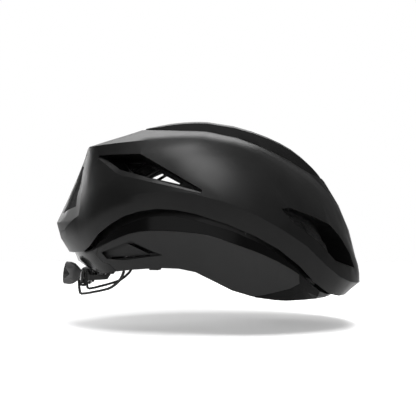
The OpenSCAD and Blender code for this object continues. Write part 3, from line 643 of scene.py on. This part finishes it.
def make_pads():
    """Cushions in place of the pads' solids; gives the lines to be stitched on them."""
    forms = [loose_form(node, voxel) for node, (voxel, _) in PADS.items()]
    starts = [positions(form.data) for form in forms]
    swollen = blow_up(forms)
    stitch_lines = []
    for node, form, start, end in zip(PADS, forms, starts, swollen):
        set_positions(form.data, capped(start, end, PADS[node][1] * MM))
        form.modifiers.new("fine", "SUBSURF").levels = 1
        form.modifiers["fine"].render_levels = 1
        fine = evaluated_mesh(form)
        bpy.data.objects.remove(form)
        lines = []
        for line in SEAMS[node]:
            lines.append(laid_on(line, surface_tree(fine)))
            press_seam(fine, lines[-1])
        pressed = surface_tree(fine)
        stitch_lines += [laid_on(line, pressed) for line in lines]
        fine.polygons.foreach_set("use_smooth", [True] * len(fine.polygons))
        piece = add_piece(node + "_cushion", fine, node)
        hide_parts(node)
    return stitch_lines


# ---- Stitches: one tree that lays short threads along any line ----

def stitch_tree():
    """Node group that lays short threads along chains of edges."""
    tree = bpy.data.node_groups.new("stitch_row", "GeometryNodeTree")
    face = tree.interface
    for name, kind in (("Geometry", "NodeSocketGeometry"), ("Pitch", "NodeSocketFloat"),
                       ("Length", "NodeSocketFloat"), ("Thickness", "NodeSocketFloat"),
                       ("Thread", "NodeSocketMaterial")):
        face.new_socket(name=name, in_out="INPUT", socket_type=kind)
    face.new_socket(name="Geometry", in_out="OUTPUT", socket_type="NodeSocketGeometry")

    def add(kind, links=(), **settings):
        node = tree.nodes.new(kind)
        for key, value in settings.items():
            setattr(node, key, value)
        for socket, source in links:
            tree.links.new(source, node.inputs[socket])
        return node

    given = add("NodeGroupInput").outputs
    curve = add("GeometryNodeMeshToCurve", [("Mesh", given["Geometry"])])
    evenly = add("GeometryNodeResampleCurve", [("Curve", curve.outputs[0]),
                                               ("Length", given["Pitch"])], mode="LENGTH")
    along = add("GeometryNodeInputTangent")
    turned = add("FunctionNodeAlignRotationToVector", [("Vector", along.outputs[0])], axis="X")
    sizes = add("ShaderNodeCombineXYZ", [("X", given["Length"]), ("Y", given["Thickness"]),
                                         ("Z", given["Thickness"])])
    thread = add("GeometryNodeMeshUVSphere")
    thread.inputs["Segments"].default_value = 6
    thread.inputs["Rings"].default_value = 4
    thread.inputs["Radius"].default_value = 0.5
    laid = add("GeometryNodeInstanceOnPoints", [
        ("Points", evenly.outputs[0]), ("Instance", thread.outputs["Mesh"]),
        ("Rotation", turned.outputs[0]), ("Scale", sizes.outputs[0])])
    real = add("GeometryNodeRealizeInstances", [("Geometry", laid.outputs[0])])
    dyed = add("GeometryNodeSetMaterial", [("Geometry", real.outputs[0]),
                                           ("Material", given["Thread"])])
    add("NodeGroupOutput", [("Geometry", dyed.outputs[0])])
    return tree


STITCH_ROW = stitch_tree()


def line_object(name, lines):
    """Every line as a chain of edges in one mesh object."""
    shape = bmesh.new()
    for line in lines:
        points = [shape.verts.new(p) for p in line]
        for a, b in zip(points, points[1:]):
            shape.edges.new((a, b))
    bmesh.ops.remove_doubles(shape, verts=shape.verts, dist=1e-6)
    return linked(name, mesh_of(shape, name))


def sew(name, lines, node, pitch=2.4, length=1.7, thickness=0.42):
    """One mesh of stitches along the lines, riding with the node's body."""
    thing = line_object(name + "_lines", lines)
    row = thing.modifiers.new("row", "NODES")
    row.node_group = STITCH_ROW
    wanted = {"Pitch": pitch * MM, "Length": length * MM, "Thickness": thickness * MM,
              "Thread": THREAD}
    for socket in STITCH_ROW.interface.items_tree:
        if socket.in_out == "INPUT" and socket.name in wanted:
            row[socket.identifier] = wanted[socket.name]
    mesh = evaluated_mesh(thing)
    thing.modifiers.clear()
    bpy.data.objects.remove(thing)
    mesh.polygons.foreach_set("use_smooth", [True] * len(mesh.polygons))
    add_piece(name, mesh, node, THREAD)


# ---- Chin strap webbing ----

STRAP_THICK = 1.2
STRAP_LIFT, CROWN_LIFT, DEEPER = 3.8, 3.3, 5
FRONT_TURNS, REAR_TURNS, STRAP_RISE = (52, 83), (97, 126), 13
CROWN_TURN, CROWN_RISES = 90, (18, 81)
# Half outline of the webbing across its width: rounded selvedges and a faintly hollow middle
ACROSS = [(-7.5, 0), (-7.42, 0.36), (-7.1, 0.56), (-6.2, 0.6), (-3.2, 0.55), (0, 0.57),
          (3.2, 0.55), (6.2, 0.6), (7.1, 0.56), (7.42, 0.36), (7.5, 0)]
STRAP_RING = ACROSS + [(x, -z) for x, z in reversed(ACROSS[1:-1])]
TACK_ACROSS, TACK_EDGE, TACK_LIFT = (-6, -3, 0, 3, 6), 5.6, 0.62


def strap_frames(start, end, lift, side, steps=44):
    """Middle, out, across and run of the webbing at even steps between two bowl places."""
    places = [[a + (b - a) * k / steps for a, b in zip(start, end)] for k in range(steps + 1)]
    line = [bowl(*p, lift) for p in places]
    frames, run = [], 0
    for k, (place, p) in enumerate(zip(places, line)):
        out = (p - bowl(*place, lift + DEEPER)).normalized()
        along = line[min(k + 1, steps)] - line[max(k - 1, 0)]
        across = out.cross(along).normalized()
        run += (p - line[k - 1]).length if k else 0
        middle = p - out * STRAP_THICK / 2
        flip = Vector((1, side, 1))
        frames.append([v * flip for v in (middle, out, across)] + [run])
    return frames


def lay_webbing(shape, weave, frames):
    """Adds one run of webbing, with its unrolled map in millimetres."""
    rings = [[shape.verts.new((middle + across * x + out * z) * MM) for x, z in STRAP_RING]
             for middle, out, across, run in frames]
    count = len(STRAP_RING)
    for (low, high), (near, far) in zip(zip(rings, rings[1:]), zip(frames, frames[1:])):
        for i in range(count):
            j = (i + 1) % count
            corners = [(low[i], near, i), (low[j], near, j), (high[j], far, j), (high[i], far, i)]
            face = shape.faces.new([c[0] for c in corners])
            face.smooth = True
            for loop, (_, at, k) in zip(face.loops, corners):
                loop[weave].uv = (at[3], STRAP_RING[k][0])
    for ring in (rings[0], list(reversed(rings[-1]))):
        shape.faces.new(ring)


def bar_tack(frames, at):
    """Box of stitches on the head's side of the webbing, near one place of a strap."""
    span = frames[at - 1:at + 2]

    def stitch(place, x):
        middle, out, across, run = place
        return (middle - out * TACK_LIFT + across * x) * MM

    return ([[stitch(place, x) for x in TACK_ACROSS] for place in (span[0], span[2])]
            + [[stitch(place, x) for place in span] for x in (-TACK_EDGE, TACK_EDGE)])


def make_straps():
    """Both straps, each of a front, a rear and a crown run, with their stitches."""
    # Of each run: start and end [turn, rise], lift, and the steps where its tacks are
    runs = (((FRONT_TURNS[0], STRAP_RISE), (FRONT_TURNS[1], STRAP_RISE), STRAP_LIFT, (6,)),
            ((REAR_TURNS[0], STRAP_RISE), (REAR_TURNS[1], STRAP_RISE), STRAP_LIFT, (38,)),
            ((CROWN_TURN, CROWN_RISES[0]), (CROWN_TURN, CROWN_RISES[1]), CROWN_LIFT, (12, 34)))
    rows = []
    for node, side in (("strap_left", 1), ("strap_right", -1)):
        shape = bmesh.new()
        weave = shape.loops.layers.uv.new("weave")
        for start, end, lift, tacks in runs:
            frames = strap_frames(start, end, lift, side)
            lay_webbing(shape, weave, frames)
            for at in tacks:
                rows += bar_tack(frames, at)
        bmesh.ops.recalc_face_normals(shape, faces=shape.faces)
        piece = add_piece(node + "_webbing", mesh_of(shape, node + "_webbing"), node)
        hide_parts(node)
    sew("strap_stitches", rows, "strap_left", pitch=1.5, length=1.15, thickness=0.4)


sew("pad_stitches", make_pads(), "brow_pad")
make_straps()


# ---- Studio ----

FLOOR_Z, FLOOR_HALF = -0.031, 6
# The floor's own brightness, and where it fades into the backdrop, in metres from the middle
FLOOR_GLOW, FLOOR_FADE = 0.3, (0.42, 1.08)
FILL_LEVEL = 0.22
# Where the backdrop starts and is whole for glossy rays, from 0 at -Y to 1 at +Y
BACKDROP = (0.93, 0.98)


def seen_rays(f):
    """1 for the rays that show the white background: camera, glossy and transmission."""
    camera = f.node("ShaderNodeLightPath", output="Is Camera Ray")
    glossy, through = camera.output("Is Glossy Ray"), camera.output("Is Transmission Ray")
    return 1 - (1 - camera) * (1 - glossy) * (1 - through)


def make_floor():
    """Pale floor that keeps the shadow and fades out before the picture's edge."""
    shape = bmesh.new()
    bmesh.ops.create_grid(shape, x_segments=1, y_segments=1, size=FLOOR_HALF)
    floor = linked("floor", mesh_of(shape, "floor"))
    floor.location.z = FLOOR_Z
    f = Finish("studio_floor")
    spot = f.node("ShaderNodeTexCoord", output="Object")
    away = f.node("ShaderNodeVectorMath", {"operation": "LENGTH"}, {0: spot}, "Value")
    near = f.ramp(away / FLOOR_FADE[1], (FLOOR_FADE[0] / FLOOR_FADE[1], 1.0), (1.0, 0.0))
    seen = seen_rays(f)
    paint = f.node("ShaderNodeBsdfDiffuse", {}, {"Color": f.blend(seen, grey(0.3), grey(0.95))})
    sweep = f.node("ShaderNodeEmission", {}, {"Color": grey(1), "Strength": seen * FLOOR_GLOW})
    paint = f.node("ShaderNodeAddShader", {}, {0: paint, 1: sweep})
    clear = f.node("ShaderNodeBsdfTransparent")
    mixed = f.node("ShaderNodeMixShader", {}, {0: near, 1: clear, 2: paint})
    f.node("ShaderNodeOutputMaterial", {}, {"Surface": mixed})
    floor.data.materials.append(f.material)


def make_world():
    """White to the camera; gloss and glass see a white backdrop behind the helmet."""
    world = bpy.data.worlds.new("studio")
    bpy.context.scene.world = world
    world.use_nodes = True
    f = Finish(tree=world.node_tree)
    aim = f.node("ShaderNodeTexCoord", output="Generated")
    toward_y = f.node("ShaderNodeSeparateXYZ", {}, {0: aim}, "Y")
    backdrop = f.ramp(toward_y * 0.5 + 0.5, (BACKDROP[0], 0.0), (BACKDROP[1], 1.0))
    camera = f.node("ShaderNodeLightPath", output="Is Camera Ray")
    seen = 1 - (1 - camera) * (1 - seen_rays(f) * backdrop)
    fill = f.node("ShaderNodeBackground", {}, {"Color": grey(1), "Strength": FILL_LEVEL})
    white = f.node("ShaderNodeBackground", {}, {"Color": grey(1), "Strength": 1.0})
    mixed = f.node("ShaderNodeMixShader", {}, {0: seen, 1: fill, 2: white})
    f.node("ShaderNodeOutputWorld", {}, {"Surface": mixed})


make_camera()
make_floor()
make_world()
lamp("overhead", (0.13, -0.45, 1.11), (0.5, 0.8), 17.5)
lamp("vent_light", (-0.1, 0.12, 1.15), (0.5, 0.25), 4.5)
lamp("near_side", (-0.35, -1.5, 0.7), (2.0, 0.5), 7)
lamp("tail_rim", (-0.9, 0.9, 0.5), (0.4, 0.6), 4)
lamp("crown_rim", (-0.15, 1.3, 1.0), (1.1, 0.5), 4.5)
bpy.context.scene.view_settings.view_transform = "Standard"
